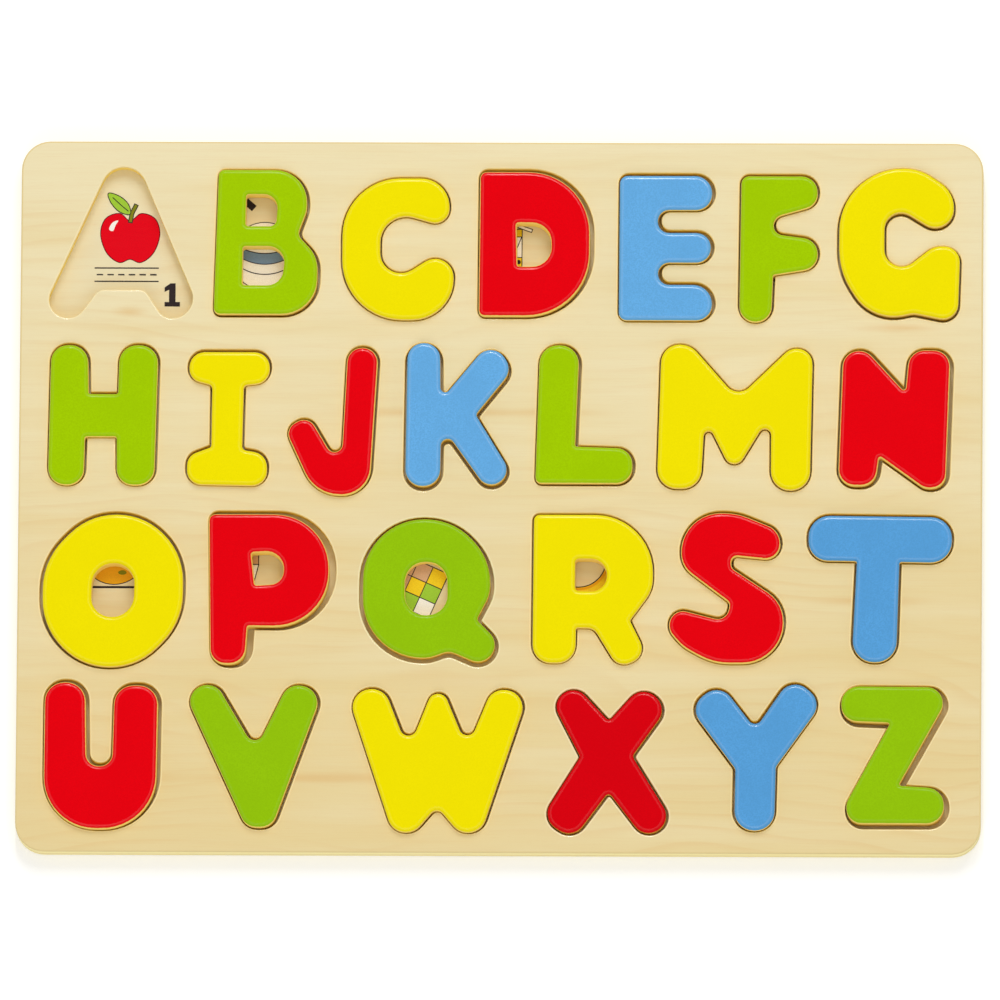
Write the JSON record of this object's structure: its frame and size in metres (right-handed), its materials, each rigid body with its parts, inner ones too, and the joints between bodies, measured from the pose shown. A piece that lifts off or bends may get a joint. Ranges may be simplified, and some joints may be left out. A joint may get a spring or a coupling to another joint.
{
  "type": "alphabet puzzle board",
  "caption": "Flat wooden board with letter-shaped pockets in rows and painted wooden letter pieces that lift out of them; one pocket stands empty and shows a picture on its floor.",
  "frame": {"origin": "middle of the board's underside", "axes": "+X along the board's long side, from its left to its right as the letters read, +Y up the board towards its first row of letters, +Z out of the board, the way the letters lift"},
  "size_m": [0.2994, 0.2234, 0.0105],
  "materials": {
    "birch_plywood": "satin clear lacquer",
    "paint_green": "satin paint on wood",
    "paint_yellow": "satin paint on wood",
    "paint_red": "satin paint on wood",
    "paint_blue": "satin paint on wood"
  },
  "bodies": {
    "board": {"base_panel": "birch_plywood", "pocket_panel": "birch_plywood"},
    "letter_b": {"letter_b": "paint_green"},
    "letter_c": {"letter_c": "paint_yellow"},
    "letter_d": {"letter_d": "paint_red"},
    "letter_e": {"letter_e": "paint_blue"},
    "letter_f": {"letter_f": "paint_green"},
    "letter_g": {"letter_g": "paint_yellow"},
    "letter_h": {"letter_h": "paint_green"},
    "letter_i": {"letter_i": "paint_yellow"},
    "letter_j": {"letter_j": "paint_red"},
    "letter_k": {"letter_k": "paint_blue"},
    "letter_l": {"letter_l": "paint_green"},
    "letter_m": {"letter_m": "paint_yellow"},
    "letter_n": {"letter_n": "paint_red"},
    "letter_o": {"letter_o": "paint_yellow"},
    "letter_p": {"letter_p": "paint_red"},
    "letter_q": {"letter_q": "paint_green"},
    "letter_r": {"letter_r": "paint_yellow"},
    "letter_s": {"letter_s": "paint_red"},
    "letter_t": {"letter_t": "paint_blue"},
    "letter_u": {"letter_u": "paint_red"},
    "letter_v": {"letter_v": "paint_green"},
    "letter_w": {"letter_w": "paint_yellow"},
    "letter_x": {"letter_x": "paint_red"},
    "letter_y": {"letter_y": "paint_blue"},
    "letter_z": {"letter_z": "paint_green"}
  },
  "joints": [
    {"name": "lift_b", "type": "slide", "parent": "board", "child": "letter_b", "axis": [0, 0, 1], "range_m": [0, 0.03]},
    {"name": "lift_c", "type": "slide", "parent": "board", "child": "letter_c", "axis": [0, 0, 1], "range_m": [0, 0.03]},
    {"name": "lift_d", "type": "slide", "parent": "board", "child": "letter_d", "axis": [0, 0, 1], "range_m": [0, 0.03]},
    {"name": "lift_e", "type": "slide", "parent": "board", "child": "letter_e", "axis": [0, 0, 1], "range_m": [0, 0.03]},
    {"name": "lift_f", "type": "slide", "parent": "board", "child": "letter_f", "axis": [0, 0, 1], "range_m": [0, 0.03]},
    {"name": "lift_g", "type": "slide", "parent": "board", "child": "letter_g", "axis": [0, 0, 1], "range_m": [0, 0.03]},
    {"name": "lift_h", "type": "slide", "parent": "board", "child": "letter_h", "axis": [0, 0, 1], "range_m": [0, 0.03]},
    {"name": "lift_i", "type": "slide", "parent": "board", "child": "letter_i", "axis": [0, 0, 1], "range_m": [0, 0.03]},
    {"name": "lift_j", "type": "slide", "parent": "board", "child": "letter_j", "axis": [0, 0, 1], "range_m": [0, 0.03]},
    {"name": "lift_k", "type": "slide", "parent": "board", "child": "letter_k", "axis": [0, 0, 1], "range_m": [0, 0.03]},
    {"name": "lift_l", "type": "slide", "parent": "board", "child": "letter_l", "axis": [0, 0, 1], "range_m": [0, 0.03]},
    {"name": "lift_m", "type": "slide", "parent": "board", "child": "letter_m", "axis": [0, 0, 1], "range_m": [0, 0.03]},
    {"name": "lift_n", "type": "slide", "parent": "board", "child": "letter_n", "axis": [0, 0, 1], "range_m": [0, 0.03]},
    {"name": "lift_o", "type": "slide", "parent": "board", "child": "letter_o", "axis": [0, 0, 1], "range_m": [0, 0.03]},
    {"name": "lift_p", "type": "slide", "parent": "board", "child": "letter_p", "axis": [0, 0, 1], "range_m": [0, 0.03]},
    {"name": "lift_q", "type": "slide", "parent": "board", "child": "letter_q", "axis": [0, 0, 1], "range_m": [0, 0.03]},
    {"name": "lift_r", "type": "slide", "parent": "board", "child": "letter_r", "axis": [0, 0, 1], "range_m": [0, 0.03]},
    {"name": "lift_s", "type": "slide", "parent": "board", "child": "letter_s", "axis": [0, 0, 1], "range_m": [0, 0.03]},
    {"name": "lift_t", "type": "slide", "parent": "board", "child": "letter_t", "axis": [0, 0, 1], "range_m": [0, 0.03]},
    {"name": "lift_u", "type": "slide", "parent": "board", "child": "letter_u", "axis": [0, 0, 1], "range_m": [0, 0.03]},
    {"name": "lift_v", "type": "slide", "parent": "board", "child": "letter_v", "axis": [0, 0, 1], "range_m": [0, 0.03]},
    {"name": "lift_w", "type": "slide", "parent": "board", "child": "letter_w", "axis": [0, 0, 1], "range_m": [0, 0.03]},
    {"name": "lift_x", "type": "slide", "parent": "board", "child": "letter_x", "axis": [0, 0, 1], "range_m": [0, 0.03]},
    {"name": "lift_y", "type": "slide", "parent": "board", "child": "letter_y", "axis": [0, 0, 1], "range_m": [0, 0.03]},
    {"name": "lift_z", "type": "slide", "parent": "board", "child": "letter_z", "axis": [0, 0, 1], "range_m": [0, 0.03]}
  ]
}
